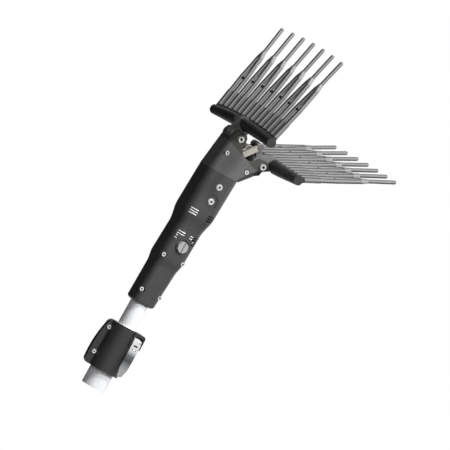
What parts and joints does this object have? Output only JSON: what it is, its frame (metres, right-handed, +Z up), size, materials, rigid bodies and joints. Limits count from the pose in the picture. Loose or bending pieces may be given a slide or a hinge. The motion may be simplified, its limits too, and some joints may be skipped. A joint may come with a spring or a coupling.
{
  "type": "electric olive harvester head",
  "caption": "Motor-driven harvesting head on a telescopic pole: two facing combs of two-legged tines clap together from a crank in a slim casing, with a flip-lever pole clamp.",
  "frame": {"origin": "centre of the outer pole tube's lower end", "axes": "+Z up the pole to the head, +X towards the lower comb, -Y the side with the screws and lever"},
  "size_m": [0.2794, 0.237, 0.6446],
  "materials": {
    "pole_aluminium": "anodised satin",
    "clamp_plastic": "fine moulded grain",
    "bright_steel": "bright zinc",
    "lever_chrome": "polished",
    "guide_plastic": "smooth",
    "casing_plastic": "fine moulded grain",
    "head_plastic": "fine moulded grain",
    "frame_alloy": "die cast",
    "motor_steel": "zinc plated",
    "magnet_ferrite": "matt",
    "motor_plastic": "smooth",
    "brass": "drawn",
    "carbon": "matt",
    "cap_plastic": "smooth",
    "copper": "enamelled",
    "gear_steel": "hardened",
    "link_alloy": "satin",
    "arm_plastic": "moulded",
    "bar_plastic": "moulded",
    "bush_bronze": "plain",
    "ring_rubber": "matt",
    "tine_tube": "semi-gloss",
    "sleeve_plastic": "semi-gloss",
    "ferrule_metal": "bright"
  },
  "bodies": {
    "pole": {"outer_tube": "pole_aluminium", "clamp_near": "clamp_plastic", "clamp_far": "clamp_plastic", "clamp_screws": "bright_steel", "tube_bush": "guide_plastic", "draw_bolt": "bright_steel", "lever_pin": "bright_steel"},
    "lever": {"clamp_lever": "lever_chrome"},
    "head": {"inner_tube": "pole_aluminium", "tube_guide_ring": "guide_plastic", "casing_near": "casing_plastic", "casing_far": "casing_plastic", "casing_screws": "bright_steel", "head_near": "head_plastic", "head_far": "head_plastic", "frame_screws": "bright_steel", "pivot_bolts": "bright_steel", "pivot_washers": "bright_steel", "pivot_nuts": "bright_steel", "gear_frame": "frame_alloy", "motor_can": "motor_steel", "motor_magnets": "magnet_ferrite", "motor_end_bell": "motor_plastic", "motor_front_plate": "motor_steel", "brush_holders": "brass", "carbon_brushes": "carbon", "brush_caps": "cap_plastic", "ball_bearings": "motor_steel", "yoke_guide": "guide_plastic"},
    "rotor": {"rotor_shaft": "motor_steel", "rotor_core": "motor_steel", "rotor_windings": "copper", "commutator": "copper", "cooling_fan": "motor_plastic", "bevel_pinion": "gear_steel"},
    "crank": {"crank_shaft": "gear_steel", "crown_gear": "gear_steel"},
    "yoke": {"drive_yoke": "gear_steel", "crosshead_pin": "gear_steel"},
    "link_lower": {"lower_link": "link_alloy"},
    "link_upper": {"upper_link": "link_alloy"},
    "lower_comb": {"lower_arm": "arm_plastic", "lower_bar": "bar_plastic", "lower_sleeves": "sleeve_plastic", "lower_legs": "tine_tube", "lower_stays": "ring_rubber", "lower_ferrules": "ferrule_metal", "lower_tips": "tine_tube", "lower_pivot_bush": "bush_bronze", "lower_drive_pin": "gear_steel", "drive_pin_rings": "ring_rubber"},
    "upper_comb": {"upper_arm": "arm_plastic", "upper_bar": "bar_plastic", "upper_sleeves": "sleeve_plastic", "upper_legs": "tine_tube", "upper_stays": "ring_rubber", "upper_ferrules": "ferrule_metal", "upper_tips": "tine_tube", "upper_pivot_bush": "bush_bronze", "upper_drive_pin": "gear_steel"}
  },
  "joints": [
    {"name": "clamp_lever_hinge", "type": "hinge", "parent": "pole", "child": "lever", "pos_m": [0.016, -0.025, 0.097], "axis": [-1, 0, 0], "range_deg": [0, 95]},
    {"name": "telescope", "type": "slide", "parent": "pole", "child": "head", "axis": [0, 0, 1], "range_m": [-0.038, 0.026]},
    {"name": "lower_comb_hinge", "type": "hinge", "parent": "head", "child": "lower_comb", "pos_m": [0.06, 0, 0.434], "axis": [0, 1, 0], "range_deg": [-9.6, 9.6]},
    {"name": "upper_comb_hinge", "type": "hinge", "parent": "head", "child": "upper_comb", "pos_m": [0.0025, 0, 0.456], "axis": [0, 1, 0], "range_deg": [-9.6, 9.6]},
    {"name": "yoke_slide", "type": "slide", "parent": "head", "child": "yoke", "axis": [0, 0, 1], "range_m": [-0.0061, 0.0061]},
    {"name": "lower_link_hinge", "type": "hinge", "parent": "yoke", "child": "link_lower", "pos_m": [0.005, -0.011, 0.412], "axis": [0, 1, 0], "range_deg": [-5.5, 5.5]},
    {"name": "upper_link_hinge", "type": "hinge", "parent": "yoke", "child": "link_upper", "pos_m": [0.005, -0.0055, 0.412], "axis": [0, 1, 0], "range_deg": [-2.3, 2.3]},
    {"name": "crank_spin", "type": "hinge", "parent": "head", "child": "crank", "pos_m": [0.005, 0, 0.347], "axis": [0, 1, 0], "continuous": true},
    {"name": "rotor_spin", "type": "hinge", "parent": "head", "child": "rotor", "pos_m": [0.005, 0, 0.29], "axis": [0, 0, 1], "continuous": true}
  ],
  "couplings": [
    {"joint": "upper_comb_hinge", "follows": "lower_comb_hinge", "ratio": -0.9755},
    {"joint": "yoke_slide", "follows": "lower_comb_hinge", "m_per_rad": 0.0354},
    {"joint": "lower_link_hinge", "follows": "lower_comb_hinge", "ratio": 0.539},
    {"joint": "upper_link_hinge", "follows": "lower_comb_hinge", "ratio": 0.21},
    {"joint": "rotor_spin", "follows": "crank_spin", "ratio": 3}
  ]
}
